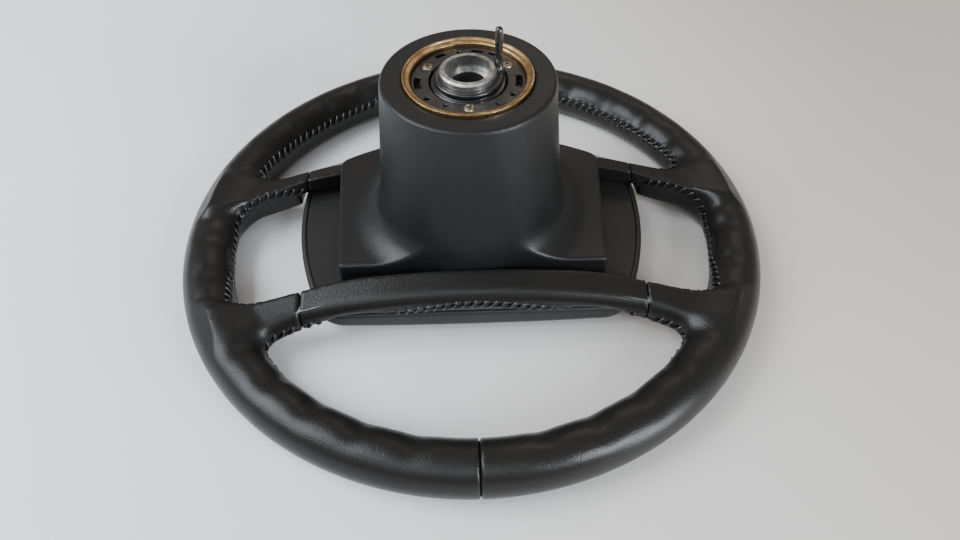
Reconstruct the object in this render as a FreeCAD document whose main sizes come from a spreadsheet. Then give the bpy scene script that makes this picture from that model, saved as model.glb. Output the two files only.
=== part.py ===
"""Four-spoke leather steering wheel with a horn pad and a deep column hub.

The wheel lies face down: the rim's grip touches z = 0, the rim's centre is on the Z axis, +Z runs
up the hub towards the steering column and +Y points at the top of the wheel.  Millimetres.
"""
import FreeCAD
import Part
import math
import os
import re
import Sketcher

SIZES = {
    # rim
    "rim_radius": 174.0,        # centre circle of the grip
    "grip_radius": 16.0,
    "leather": 1.4,             # thickness of every leather skin
    "core_radius": 6.0,         # steel ring inside the foam
    "clamp_radius": 9.5,        # aluminium cast round the steel ring
    "clamp_angle": 7.0,
    "lower_angle": 28.5,        # where the spokes meet the rim, down or up from the X axis
    "upper_angle": 12.5,
    # bands: the two leather covered bridges, each two spokes and the stretch between them
    "knee_x": 83.0,
    "seam_x": 105.0,
    "band_edge": 3.0,           # rounding of a band's long edges
    "band_fall": 5.0,           # how far the back slopes down across a band
    "lower_mid_inner": 58.6,
    "lower_mid_outer": 76.0,
    "lower_knee_inner": 59.0,
    "lower_knee_outer": 77.5,
    "lower_seam_inner": 63.4,
    "lower_seam_outer": 80.0,
    "upper_mid_inner": 51.0,
    "upper_mid_outer": 80.0,
    "upper_knee_inner": 41.0,
    "upper_knee_outer": 61.5,
    "upper_seam_inner": 36.8,
    "upper_seam_outer": 55.3,
    "spoke_end_width": 26.0,
    "lower_rise": 4.5,          # crest of the lower band above the deck, in the middle
    "knee_fall": 1.5,           # the same crest below the deck at the knee
    "seam_fall": 5.0,           # both crests below the deck at the seams
    "upper_fall": 1.0,          # crest of the upper band below the deck's underside
    "corner_drop": 1.0,         # extra fall of the back at a band's outer shoulder
    "spoke_low": 11.0,          # underside of a spoke at the rim
    "arm_width": 10.0,
    "arm_height": 7.0,
    # heights through the middle of the wheel
    "pad_face": 1.5,
    "pad_back": 20.0,
    "horn_travel": 2.5,
    "pad_room": 1.0,            # space left over the pad when it is pressed
    "pad_gap": 3.0,             # space round the pad
    "mechanism": 10.0,          # from the pad's back to the hub plate
    "plate": 6.0,
    "boss_rise": 3.5,
    "shell": 2.5,               # wall of the hub shroud
    # hub
    "sleeve_radius": 16.1,
    "pilot_radius": 12.9,
    "pilot_depth": 9.0,
    "spline_radius": 10.6,
    "spline_depth": 0.8,
    "spline_length": 26.0,
    "nut_wall": 3.6,            # sleeve's wall round the column nut's pocket
    "sleeve_foot": 3.0,         # sleeve below the hub plate
    "tower_wall": 8.0,
    "tower_rise": 22.0,
    "fit_gap": 0.4,             # shroud round the sleeve and the frame's webs
    "shroud_top": 141.0,
    "sleeve_rise": 6.3,         # sleeve above the shroud's top
    "cone_top_radius": 48.7,
    "cone_base_radius": 57.1,
    "flare_radius": 22.0,
    "deck_front": 50.0,
    "deck_front_half": 82.5,
    "deck_back_half": 89.0,
    "deck_back_y": 48.0,
    "deck_back_crown": 74.0,
    "deck_wall_end": 33.0,
    "web_half": 20.0,
    "hub_plate_x": 70.0,
    "hub_plate_y": 44.0,
    # slip ring, its carrier and the cancelling collar
    "ring_width": 4.4,
    "ring_lip": 2.0,
    "ring_rise": 2.8,
    "ring_step": 1.2,
    "carrier_depth": 9.5,       # from the shroud's top to the carrier's seat
    "carrier_drop": 1.5,
    "carrier_width": 10.8,      # carrier between the collar and the ring
    "carrier_lip": 0.3,
    "carrier_lip_rise": 1.0,
    "carrier_screw_in": 4.2,    # carrier's screws from its inner edge
    "carrier_screw": 1.8,
    "carrier_head": 3.5,
    "carrier_thread": 3.5,
    "carrier_well": 2.2,
    "collar_wall": 3.3,
    "collar_step": 1.9,
    "collar_gap": 0.7,
    "collar_rise": 2.0,
    "finger_rise": 29.0,
    "finger_width": 4.8,
    "finger_depth": 4.0,
    "finger_angle": 18.0,
    # horn pad
    "pad_side_radius": 200.0,
    "pad_half": 116.0,
    "pad_side_y": 22.0,
    "pad_top_y": 54.0,
    "pad_low_y": 72.0,
    "pad_crown": 76.0,
    "pad_corner": 10.0,
    "pad_wall": 4.0,
    "pad_rim": 0.8,             # cover's rim above the tray
    "pad_edge": 6.5,
    "tray": 2.5,
    "badge_radius": 24.0,
    "badge_depth": 1.6,
    "pin_x": 34.0,
    "pin_y": 30.0,
    "pin_radius": 2.5,
    "pin_clearance": 0.05,
    "pin_foot": 4.0,
    "pin_foot_depth": 2.0,
    "pin_end": 1.2,
    "bush_radius": 5.0,
    "bush_flange": 6.5,
    "clip_radius": 5.0,
    "clip": 0.8,
    "stop_gap": 0.3,
    "spring_wire": 0.5,
    "spring_radius": 4.3,
    "contact_circle": 25.0,
    "contact_half": 4.0,        # half the width of the contact rings
    "contact_sheet": 1.0,
    "stud_rise": 2.5,
    "stud_radius": 2.0,
    "insulator_lap": 1.5,
    "pad_screw_x": 70.0,
    "pad_screw_low": 22.0,
    "screw_radius": 1.6,
    "screw_head": 3.1,
    "head_depth": 1.6,
    "shroud_screw_x": 62.0,
    "shroud_screw_y": 33.0,
    "boss_radius": 5.0,
    "post_wall": 2.4,           # pad's screw posts round their screws
    "post_thread": 8.0,
}

doc = FreeCAD.newDocument("steering_wheel")
sheet = doc.addObject("Spreadsheet::Sheet", "Sizes")
for row, (alias, size) in enumerate(SIZES.items(), 1):
    sheet.set(f"A{row}", alias)
    sheet.set(f"B{row}", str(size))
    sheet.setAlias(f"B{row}", alias)
doc.recompute()


def formula(words):
    """A formula in the sheet's aliases, such as "rim_radius - leather", with the sheet named."""
    return re.sub(r"[a-z_]+", lambda word: f"Sizes.{word[0]}" if word[0] in SIZES else word[0], words)


def value(words):
    """The number a formula gives now."""
    return float(sheet.evalExpression(formula(words)))


FRAME_LOW = "( pad_back + mechanism )"
FRAME_TOP = "( pad_back + mechanism + plate )"
DECK_TOP = "( pad_back + mechanism + plate + boss_rise + shell )"
ROOM_TOP = "( pad_back + horn_travel + pad_room )"
SKIRT_LOW = "( pad_back + horn_travel + pad_room + 2.5 )"
SEAT = "( shroud_top - carrier_depth )"
CARRIER_TOP = "( shroud_top - carrier_drop )"
SLEEVE_TOP = "( shroud_top + sleeve_rise )"
COLLAR_RADIUS = "( sleeve_radius + collar_wall )"
COLLAR_FLANGE = "( sleeve_radius + collar_wall + collar_step )"
CARRIER_HOLE = "( sleeve_radius + collar_wall + collar_step + collar_gap )"
RING_INNER = f"( {CARRIER_HOLE} + carrier_width )"
RING_OUTER = f"( {CARRIER_HOLE} + carrier_width + ring_width )"
SCREW_CIRCLE = f"( {CARRIER_HOLE} + carrier_screw_in )"
SEAM_CREST = f"( {DECK_TOP} - seam_fall )"
TRAY_LOW = "( pad_back - tray )"
PAD_FLOOR = "( pad_face + pad_wall )"
CARRIER_ANGLES = (30, 150, 270)


# ---------------------------------------------------------------- sketching helpers

def body_of(label):
    """A PartDesign body whose label names its file."""
    body = doc.addObject("PartDesign::Body", label)
    body.Label = label
    return body


def sketch_on(body, role, name, lift="0"):
    """A sketch on one of the body's origin planes, lifted along the plane's normal."""
    sketch = body.newObject("Sketcher::SketchObject", name)
    plane = next(o for o in body.Origin.OriginFeatures if o.Role == role)
    sketch.AttachmentSupport = [(plane, "")]
    sketch.MapMode = "FlatFace"
    sketch.setExpression("AttachmentOffset.Base.z", formula(lift))
    return sketch


def free_sketch(name, x):
    """A sketch of its own in the plane x = const, horizontal along Y and vertical along Z."""
    sketch = doc.addObject("Sketcher::SketchObject", name)
    turn = FreeCAD.Rotation(FreeCAD.Vector(0, 1, 0), FreeCAD.Vector(0, 0, 1), FreeCAD.Vector(1, 0, 0))
    sketch.Placement = FreeCAD.Placement(FreeCAD.Vector(0, 0, 0), turn)
    sketch.setExpression("Placement.Base.x", formula(x))
    return sketch


def hold(sketch, kind, geometry, point, words):
    """Place one point of the sketch at a formula's distance from the sketch's origin."""
    number = value(words)
    if abs(number) < 1e-9:
        axis = -2 if kind == "DistanceX" else -1
        sketch.addConstraint(Sketcher.Constraint("PointOnObject", geometry, point, axis))
        return
    mark = sketch.addConstraint(Sketcher.Constraint(kind, -1, 1, geometry, point, number))
    sketch.setExpression(f"Constraints[{mark}]", formula(words))


def outline(sketch, corners):
    """A closed outline.  A corner is (x, y), or (x, y, radius) where an arc of that radius, bulging
    to the right of the way it runs (to the left if it is negative), leaves it for the next corner."""
    points = [FreeCAD.Vector(value(c[0]), value(c[1]), 0) for c in corners]
    count = len(corners)
    first = sketch.GeometryCount
    for i, corner in enumerate(corners):
        a, b = points[i], points[(i + 1) % count]
        if len(corner) == 2:
            sketch.addGeometry(Part.LineSegment(a, b), False)
            continue
        radius = value(corner[2])
        half = (b - a).Length / 2
        side = FreeCAD.Vector((b - a).y, -(b - a).x, 0).normalize() * math.copysign(1, radius)
        middle = (a + b) / 2 + side * (abs(radius) - math.sqrt(radius ** 2 - half ** 2))
        ends = (a, middle, b) if radius > 0 else (b, middle, a)
        sketch.addGeometry(Part.Arc(*ends), False)
    starts = [(2, 1) if len(c) == 3 and value(c[2]) < 0 else (1, 2) for c in corners]
    for i, corner in enumerate(corners):
        here, there = first + i, first + (i + 1) % count
        sketch.addConstraint(Sketcher.Constraint(
            "Coincident", here, starts[i][1], there, starts[(i + 1) % count][0]))
        hold(sketch, "DistanceX", here, starts[i][0], corner[0])
        hold(sketch, "DistanceY", here, starts[i][0], corner[1])
        if len(corner) == 3:
            mark = sketch.addConstraint(Sketcher.Constraint("Radius", here, abs(value(corner[2]))))
            sketch.setExpression(f"Constraints[{mark}]", formula(f"abs( {corner[2]} )"))


def circles(sketch, centres, radius):
    """Equal circles, each centre a pair of formulas."""
    for x, y in centres:
        centre = FreeCAD.Vector(value(x), value(y), 0)
        circle = sketch.addGeometry(Part.Circle(centre, FreeCAD.Vector(0, 0, 1), value(radius)), False)
        mark = sketch.addConstraint(Sketcher.Constraint("Radius", circle, value(radius)))
        sketch.setExpression(f"Constraints[{mark}]", formula(radius))
        hold(sketch, "DistanceX", circle, 3, x)
        hold(sketch, "DistanceY", circle, 3, y)


def pad(body, sketch, length):
    """Raise a sketch upwards."""
    feature = body.newObject("PartDesign::Pad", f"{sketch.Name}Pad")
    feature.Profile = sketch
    feature.setExpression("Length", formula(length))
    return feature


def pocket(body, sketch, depth, up=False):
    """Cut a sketch downwards, or upwards."""
    feature = body.newObject("PartDesign::Pocket", f"{sketch.Name}Pocket")
    feature.Profile = sketch
    feature.setExpression("Length", formula(depth))
    feature.Reversed = up
    return feature


def turned(body, name, corners, cut=False):
    """Turn an outline given as (radius, height) corners once round the Z axis."""
    sketch = sketch_on(body, "XZ_Plane", name)
    outline(sketch, corners)
    kind = "PartDesign::Groove" if cut else "PartDesign::Revolution"
    feature = body.newObject(kind, f"{name}Turn")
    feature.Profile = sketch
    feature.ReferenceAxis = (sketch, ["V_Axis"])
    feature.Angle = 360
    return feature


def upright(edge):
    """Whether an edge runs along Z."""
    ends = edge.Vertexes
    return len(ends) == 2 and (ends[0].Point - ends[1].Point).cross(FreeCAD.Vector(0, 0, 1)).Length < 1e-6


def at_height(words):
    """A test for edges that lie in one level plane."""
    return lambda edge: abs(edge.BoundBox.ZMax - value(words)) + abs(edge.BoundBox.ZMin - value(words)) < 1e-4


def round_edges(body, name, radius, wanted, kind="Fillet"):
    """Fillet or chamfer the edges of a body that a test picks."""
    doc.recompute()
    base = body.Tip
    edges = [f"Edge{i}" for i, edge in enumerate(base.Shape.Edges, 1) if wanted(edge)]
    feature = body.newObject(f"PartDesign::{kind}", name)
    feature.Base = (base, edges)
    feature.setExpression("Radius" if kind == "Fillet" else "Size", formula(radius))
    doc.recompute()
    return feature


def four(x, y):
    """The four centres at plus and minus x and y."""
    return [(x, y), (f"0 - {x}", y), (f"0 - {x}", f"0 - {y}"), (x, f"0 - {y}")]


def on_circle(radius, angles):
    """Centres on a circle, at angles in degrees."""
    return [(f"{radius} * cos( {a} * 1deg )", f"{radius} * sin( {a} * 1deg )") for a in angles]


def cut(label, base, tools):
    """Base less every tool, as a chain of Part cuts whose last one carries the label."""
    for number, tool in enumerate(tools, 1):
        step = doc.addObject("Part::Cut", f"{label}_cut{number}")
        step.Base = base
        step.Tool = tool
        base = step
    base.Label = label
    return base


def common(name, base, tool):
    """What two shapes share."""
    shared = doc.addObject("Part::Common", name)
    shared.Base = base
    shared.Tool = tool
    return shared


def fuse(name, shapes):
    """Several shapes joined into one."""
    joined = doc.addObject("Part::MultiFuse", name)
    joined.Shapes = shapes
    return joined


# ---------------------------------------------------------------- rim

def torus(name, radius, start=0, sweep="360"):
    """A ring of round section on the rim's centre circle."""
    ring = doc.addObject("Part::Torus", name)
    ring.setExpression("Radius1", formula("rim_radius"))
    ring.setExpression("Radius2", formula(radius))
    ring.setExpression("Angle3", formula(sweep))
    ring.setExpression("Placement.Base.z", formula("grip_radius"))
    ring.setExpression("Placement.Rotation.Angle", formula(str(start)))
    return ring


def spoke_section(name, x, inner, outer, crest, low, side, inset):
    """One cross section of a band at x: an eight-sided outline whose back falls away outwards."""
    sketch = free_sketch(name, x)
    edge = "band_edge"
    a, b = f"( {inner} + {inset} )", f"( {outer} - {inset} )"
    high, drop = f"( {crest} - {inset} )", f"( {crest} - band_fall - {inset} )"
    low = f"( {low} + {inset} )"
    corners = [
        (f"{a} + {edge}", high), (f"{b} - {edge}", f"{drop} + corner_drop"), (b, f"{drop} - {edge}"),
        (b, f"{low} + {edge}"), (f"{b} - {edge}", low), (f"{a} + {edge}", low),
        (a, f"{low} + {edge}"), (a, f"{high} - {edge}")]
    outline(sketch, [(f"{side} * ( {y} )", z) for y, z in corners])
    return sketch


def stations(band):
    """The sections of one band from the middle to the rim: x, inner, outer, crest and underside."""
    angle = f"{band}_angle * 1deg"
    rim_x, rim_y = f"rim_radius * cos( {angle} )", f"rim_radius * sin( {angle} )"
    stub_x = f"( ( seam_x + {rim_x} ) / 2 )"
    seam_mid = f"( {band}_seam_inner + {band}_seam_outer ) / 2"
    stub_mid = f"( ( {seam_mid} + {rim_y} ) / 2 )"
    crest = f"( {DECK_TOP} + lower_rise )" if band == "lower" else f"( {DECK_TOP} - shell - upper_fall )"
    knee = f"( {DECK_TOP} - knee_fall )" if band == "lower" else f"( {DECK_TOP} - shell - upper_fall )"
    return [
        ("0", f"{band}_mid_inner", f"{band}_mid_outer", crest, "pad_back + 6"),
        ("knee_x", f"{band}_knee_inner", f"{band}_knee_outer", knee, "pad_back + 5"),
        ("seam_x", f"{band}_seam_inner", f"{band}_seam_outer", SEAM_CREST, "spoke_low + 5"),
        (stub_x, f"( {stub_mid} - spoke_end_width * 0.4 )", f"( {stub_mid} + spoke_end_width * 0.4 )",
         f"( ( {SEAM_CREST} + grip_radius * 2 ) / 2 )", "spoke_low"),
        (rim_x, f"( {rim_y} - spoke_end_width / 2 )", f"( {rim_y} + spoke_end_width / 2 )",
         "grip_radius * 2 - 1", "spoke_low"),
    ]


def loft(name, sections):
    feature = doc.addObject("Part::Loft", name)
    feature.Sections = sections
    feature.Solid = True
    feature.Ruled = True
    return feature


def both_sides(rows):
    """The rows mirrored to minus x, then the rows: one run from rim to rim."""
    mirrored = [(f"0 - {row[0]}",) + row[1:] for row in rows[:0:-1]]
    return mirrored + rows


def band_solid(name, band, inset):
    side = "-1" if band == "lower" else "1"
    sections = [spoke_section(f"{name}{i}", *row, side, inset)
                for i, row in enumerate(both_sides(stations(band)))]
    return loft(name, sections)


def arm_solid(name, band):
    """The aluminium bar down the middle of a band, from rim to rim."""
    side = "-1" if band == "lower" else "1"
    heights = [f"{FRAME_LOW} + plate / 2", f"{FRAME_LOW} + plate / 2 - 0.5", "( pad_back + 9 )",
               "( ( pad_back + 9 + grip_radius ) / 2 + 1 )", "grip_radius"]
    rows = [(x, f"( {inner} + {outer} ) / 2", z)
            for (x, inner, outer, _, _), z in zip(stations(band), heights)]
    sections = []
    for i, (x, y, z) in enumerate(both_sides(rows)):
        sketch = free_sketch(f"{name}{i}", x)
        wide, tall = "arm_width / 2", "arm_height / 2"
        outline(sketch, [
            (f"{side} * ( {y} ) - {wide}", f"{z} - {tall}"), (f"{side} * ( {y} ) + {wide}", f"{z} - {tall}"),
            (f"{side} * ( {y} ) + {wide}", f"{z} + {tall}"), (f"{side} * ( {y} ) - {wide}", f"{z} + {tall}")])
        sections.append(sketch)
    return loft(name, sections)


def box(name, low, high):
    """A box between two corners of formulas."""
    block = doc.addObject("Part::Box", name)
    for size, axis, a, b in zip(("Length", "Width", "Height"), "xyz", low, high):
        block.setExpression(size, formula(f"( {b} ) - ( {a} )"))
        block.setExpression(f"Placement.Base.{axis}", formula(a))
    return block


def cylinder(name, radius, low, high, x="0", y="0"):
    post = doc.addObject("Part::Cylinder", name)
    post.setExpression("Radius", formula(radius))
    post.setExpression("Height", formula(f"( {high} ) - ( {low} )"))
    for axis, words in zip("xyz", (x, y, low)):
        post.setExpression(f"Placement.Base.{axis}", formula(words))
    return post


def pad_outline(inset="0"):
    """The horn pad's outline: straight foot, bowed sides, crowned top and bevelled corners."""
    half, low, top = f"( pad_half - {inset} )", f"( pad_low_y - {inset} )", f"( pad_top_y - {inset} )"
    drop = f"( pad_side_radius - sqrt( pad_side_radius * pad_side_radius - {{}} * {{}} ) )"
    foot_y = f"( {low} + pad_side_y - pad_corner )"
    foot_x = f"( {half} - {drop.format(foot_y, foot_y)} )"
    top_y = "( pad_top_y - pad_side_y )"
    top_x = f"( {half} - {drop.format(top_y, top_y)} )"
    crown = f"( pad_crown - {inset} - {top} - pad_corner )"
    chord = f"( {top_x} - pad_corner )"
    crown_radius = f"( ( {chord} * {chord} + {crown} * {crown} ) / ( 2 * {crown} ) )"
    return [
        (f"0 - {foot_x} + pad_corner", f"0 - {low}"),
        (f"{foot_x} - pad_corner", f"0 - {low}", "pad_corner * 1.2"),
        (foot_x, f"0 - {low} + pad_corner", f"pad_side_radius - {inset}"),
        (top_x, top, "pad_corner * 1.2"),
        (f"{top_x} - pad_corner", f"{top} + pad_corner", crown_radius),
        (f"0 - {top_x} + pad_corner", f"{top} + pad_corner", "pad_corner * 1.2"),
        (f"0 - {top_x}", top, f"pad_side_radius - {inset}"),
        (f"0 - {foot_x}", f"0 - {low} + pad_corner", "pad_corner * 1.2"),
    ]


def pad_sharp_outline():
    """The same outline with its four corners left sharp, to be rounded as edges."""
    drop = "( pad_side_radius - sqrt( pad_side_radius * pad_side_radius - {0} * {0} ) )"
    foot_x = f"( pad_half - {drop.format('( pad_low_y + pad_side_y )')} )"
    top_y = "( pad_top_y + pad_corner * 0.8 )"
    top_x = f"( pad_half - {drop.format(f'( {top_y} - pad_side_y )')} )"
    crown = f"( pad_crown - {top_y} )"
    crown_radius = f"( ( {top_x} * {top_x} + {crown} * {crown} ) / ( 2 * {crown} ) )"
    return [
        (f"0 - {foot_x}", "0 - pad_low_y"), (foot_x, "0 - pad_low_y", "pad_side_radius"),
        (top_x, top_y, crown_radius), (f"0 - {top_x}", top_y, "pad_side_radius")]


def pad_room():
    """The space the horn pad moves in, to be kept clear of the frame and the bands."""
    sketch = doc.addObject("Sketcher::SketchObject", "PadRoomOutline")
    outline(sketch, pad_outline("( 0 - pad_gap )"))
    room = doc.addObject("Part::Extrusion", "PadRoom")
    room.Base = sketch
    room.DirMode = "Custom"
    room.Dir = FreeCAD.Vector(0, 0, 1)
    room.Solid = True
    room.setExpression("LengthFwd", formula(ROOM_TOP))
    return room


def holes(name, centres, radius, low, high):
    """Equal upright cylinders."""
    return [cylinder(f"{name}{i}", radius, low, high, x, y) for i, (x, y) in enumerate(centres)]


def make_frame(room):
    """Cast aluminium: hub plate, tower, webs and four arms whose ends clamp the steel ring."""
    plate = box("HubPlate", ("0 - hub_plate_x", "0 - hub_plate_y", FRAME_LOW),
                ("hub_plate_x", "hub_plate_y", FRAME_TOP))
    lower_web = box("LowerWeb", ("0 - web_half", "0 - lower_mid_inner - 6", FRAME_LOW),
                    ("web_half", "0", FRAME_TOP))
    upper_web = box("UpperWeb", ("0 - web_half * 2", "0", FRAME_LOW),
                    ("web_half * 2", "upper_mid_inner + 10", FRAME_TOP))
    tower = cylinder("HubTower", "sleeve_radius + tower_wall", FRAME_LOW, f"{FRAME_TOP} + tower_rise")
    spokes = ("upper_angle", "180 - upper_angle", "180 + lower_angle", "360 - lower_angle")
    clamps = [torus(f"Clamp{number}", "clamp_radius", f"{middle} - clamp_angle / 2", "clamp_angle")
              for number, middle in enumerate(spokes)]
    arms = [arm_solid("LowerArm", "lower"), arm_solid("UpperArm", "upper")]
    casting = fuse("Casting", [plate, lower_web, upper_web, tower] + arms + clamps)

    below, above = f"{FRAME_LOW} - 1", f"{FRAME_TOP} + 1"
    sleeve_hole = cylinder("SleeveHole", "sleeve_radius", below, f"{FRAME_TOP} + tower_rise + 1")
    bush_holes = holes("BushHole", four("pin_x", "pin_y"), "bush_radius", below, above)
    screw_centres = four("shroud_screw_x", "shroud_screw_y")
    screw_holes = holes("ShroudScrewHole", screw_centres, "screw_radius", below, above)
    drilled = fuse("FrameHoles", [sleeve_hole] + bush_holes + screw_holes)
    return cut("spoke_frame", casting, [torus("CoreSpace", "core_radius"), drilled, room])


def make_foam(frame):
    """Foam moulded round the steel ring."""
    ring = torus("FoamRing", "grip_radius - leather")
    return cut("rim_foam", ring, [torus("FoamCoreSpace", "core_radius"), frame])


def make_rim_leather(frame):
    """The rim's two skins, which meet at the top and the foot of the wheel."""
    skins = []
    for label, start in (("rim_leather_left", 90), ("rim_leather_right", 270)):
        outside = torus(f"{label}_outside", "grip_radius", start, "180")
        inside = torus(f"{label}_inside", "grip_radius - leather")
        skins.append(cut(label, outside, [inside, frame]))
    return skins


def make_bands(frame, room):
    """Foam and leather of the lower and the upper band, each from rim to rim."""
    rim_space = torus("RimSpace", "grip_radius")
    reach = cylinder("BandReach", "rim_radius - grip_radius / 2", "0", f"{DECK_TOP} * 2")
    bands = []
    for band in ("lower", "upper"):
        inner = band_solid(f"{band}_stuffing", band, "leather")
        stuffing = common(f"{band}_stuffing_in_reach", inner, reach)
        outer = band_solid(f"{band}_hide", band, "0")
        hide = common(f"{band}_hide_in_reach", outer, reach)
        bands.append(cut(f"{band}_band_foam", stuffing, [rim_space, room, frame]))
        bands.append(cut(f"{band}_band_leather", hide, [inner, rim_space, room, frame]))
    return bands


# ---------------------------------------------------------------- hub

def make_sleeve():
    """Turned steel sleeve: pilot bore, splined socket and the nut's pocket below it."""
    body = body_of("hub_sleeve")
    low, nut = f"{FRAME_LOW} - sleeve_foot", "sleeve_radius - nut_wall"
    nut_top = f"{SLEEVE_TOP} - pilot_depth - spline_length"
    turned(body, "SleeveSection", [
        (nut, low), ("sleeve_radius", low), ("sleeve_radius", f"{SLEEVE_TOP} - 1"),
        ("sleeve_radius - 1", SLEEVE_TOP), ("pilot_radius", SLEEVE_TOP),
        ("pilot_radius", f"{SLEEVE_TOP} - pilot_depth"),
        ("spline_radius - spline_depth", f"{SLEEVE_TOP} - pilot_depth"),
        ("spline_radius - spline_depth", nut_top), (nut, nut_top)])
    doc.recompute()
    groove = sketch_on(body, "XY_Plane", "SplineTooth", f"{SLEEVE_TOP} - pilot_depth")
    inner, outer = "spline_radius - spline_depth - 0.4", "spline_radius"
    outline(groove, [(inner, "0 - 0.5"), (outer, "0 - 0.25"), (outer, "0.25"), (inner, "0.5")])
    tooth = pocket(body, groove, "spline_length")
    ring = body.newObject("PartDesign::PolarPattern", "SplineRing")
    ring.Originals = [tooth]
    ring.Axis = (groove, ["N_Axis"])
    ring.Angle = 360
    ring.Occurrences = 36
    body.Tip = ring
    return body


def deck_crown_radius():
    """Radius of the arc along the deck's back edge."""
    crown = "( deck_back_crown - deck_back_y )"
    return f"( ( deck_back_half * deck_back_half + {crown} * {crown} ) / ( 2 * {crown} ) )"


def deck_prism(label, inset, low, height):
    """An upright block with the deck's outline, drawn in all round by the inset."""
    block = body_of(label)
    sketch = sketch_on(block, "XY_Plane", f"{label}Outline", low)
    front = f"0 - deck_front + {inset}"
    outline(sketch, [
        (f"0 - deck_front_half + {inset}", front), (f"deck_front_half - {inset}", front),
        (f"deck_back_half - {inset}", f"deck_back_y - {inset}", deck_crown_radius()),
        (f"0 - deck_back_half + {inset}", f"deck_back_y - {inset}")])
    pad(block, sketch, height)
    doc.recompute()
    return block


def make_flare():
    """The hollow curve that carries the cone's foot out over the deck."""
    foot = body_of("FlareShape")
    top = f"( {DECK_TOP} + flare_radius )"
    slope = f"( ( cone_base_radius - cone_top_radius ) / ( shroud_top - {DECK_TOP} ) )"
    meet = f"( cone_base_radius - flare_radius * {slope} )"
    inner = "sleeve_radius + 4"
    turned(foot, "FlareSection", [
        (inner, f"{DECK_TOP} - 1"), (f"{meet} + flare_radius", f"{DECK_TOP} - 1"),
        (f"{meet} + flare_radius", DECK_TOP, "0 - flare_radius"), (meet, top), (inner, top)])
    return common("Flare", foot, deck_prism("DeckPrism", "1", SKIRT_LOW, "deck_front + 10"))


def make_cone():
    """The cone and the hollow inside it, whose web leaves a seat for the slip ring's carrier."""
    cone = body_of("ConeShape")
    turned(cone, "ConeSection", [
        ("1", SKIRT_LOW), ("cone_base_radius", SKIRT_LOW), ("cone_base_radius", DECK_TOP),
        ("cone_top_radius + 0.13", "shroud_top - 1.5"), ("cone_top_radius - 1.4", "shroud_top"),
        ("1", "shroud_top")])
    hollow = body_of("ConeHollow")
    low, web_low = f"{SKIRT_LOW} - 1", f"( {SEAT} - 4.5 )"
    turned(hollow, "HollowSection", [
        ("sleeve_radius + tower_wall + 0.5", low), ("cone_base_radius - shell", low),
        ("cone_base_radius - shell", DECK_TOP), ("cone_top_radius - shell + 1.2", web_low),
        ("sleeve_radius + 6", web_low), ("sleeve_radius + 6", f"{FRAME_TOP} + tower_rise + 2"),
        ("sleeve_radius + tower_wall + 0.5", f"{FRAME_TOP} + tower_rise + 0.5")])
    tower_room = cylinder("TowerRoom", "sleeve_radius + tower_wall + 1", low, web_low)
    return cone, [hollow, tower_room]


def make_shroud():
    """Moulded hub shroud: hollow cone, flared foot and the deck that covers the spokes' root."""
    deck = deck_prism("DeckShape", "0", SKIRT_LOW, f"{DECK_TOP} - {SKIRT_LOW}")
    round_edges(deck, "DeckCorners", "6", upright)
    round_edges(deck, "DeckRim", "2", at_height(DECK_TOP))
    cone, hollows = make_cone()
    whole = fuse("ShroudWhole", [deck, make_flare(), cone])

    low = f"{SKIRT_LOW} - 1"
    under = deck_prism("DeckHollow", "shell", low, f"{DECK_TOP} - shell - {SKIRT_LOW} + 1")
    bore = cylinder("ShroudBore", "sleeve_radius + fit_gap", low, "shroud_top + 1")
    seat = cylinder("ContactSeat", RING_OUTER, SEAT, "shroud_top + 1")
    back_open = box("DeckBackOpening", ("0 - deck_back_half - 1", "deck_wall_end", low),
                    ("deck_back_half + 1", "deck_back_crown + 9", f"{DECK_TOP} - shell"))
    notch = box("WebNotch", ("0 - web_half - fit_gap", "0 - cone_base_radius - 9", f"{SKIRT_LOW} - 2"),
                ("web_half + fit_gap", "0 - deck_front + 12", f"{FRAME_TOP} + fit_gap"))
    shell = cut("ShroudShell", whole, hollows + [under, bore, seat, back_open, notch])

    centres = four("shroud_screw_x", "shroud_screw_y")
    bosses = holes("ShroudBoss", centres, "boss_radius", FRAME_TOP, f"{DECK_TOP} - shell + 0.5")
    threads = holes("ShroudThread", centres, "screw_radius", f"{FRAME_TOP} - 1", f"{DECK_TOP} - 1.5")
    threads += holes("CarrierThread", on_circle(SCREW_CIRCLE, CARRIER_ANGLES), "carrier_screw",
                     f"{SEAT} - carrier_thread", f"{SEAT} + 1")
    with_bosses = fuse("ShroudWithBosses", [shell] + bosses)
    return cut("hub_shroud", with_bosses, [fuse("ShroudThreads", threads)])


def make_slip_ring():
    """Turned brass ring with a raised outer lip."""
    ring = body_of("slip_ring")
    step, high = f"{RING_OUTER} - ring_lip", "shroud_top + ring_rise"
    turned(ring, "RingSection", [
        (RING_INNER, SEAT), (RING_OUTER, SEAT), (RING_OUTER, high), (step, high),
        (step, f"{high} - ring_step"), (RING_INNER, f"{high} - ring_step")])
    return ring


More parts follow.
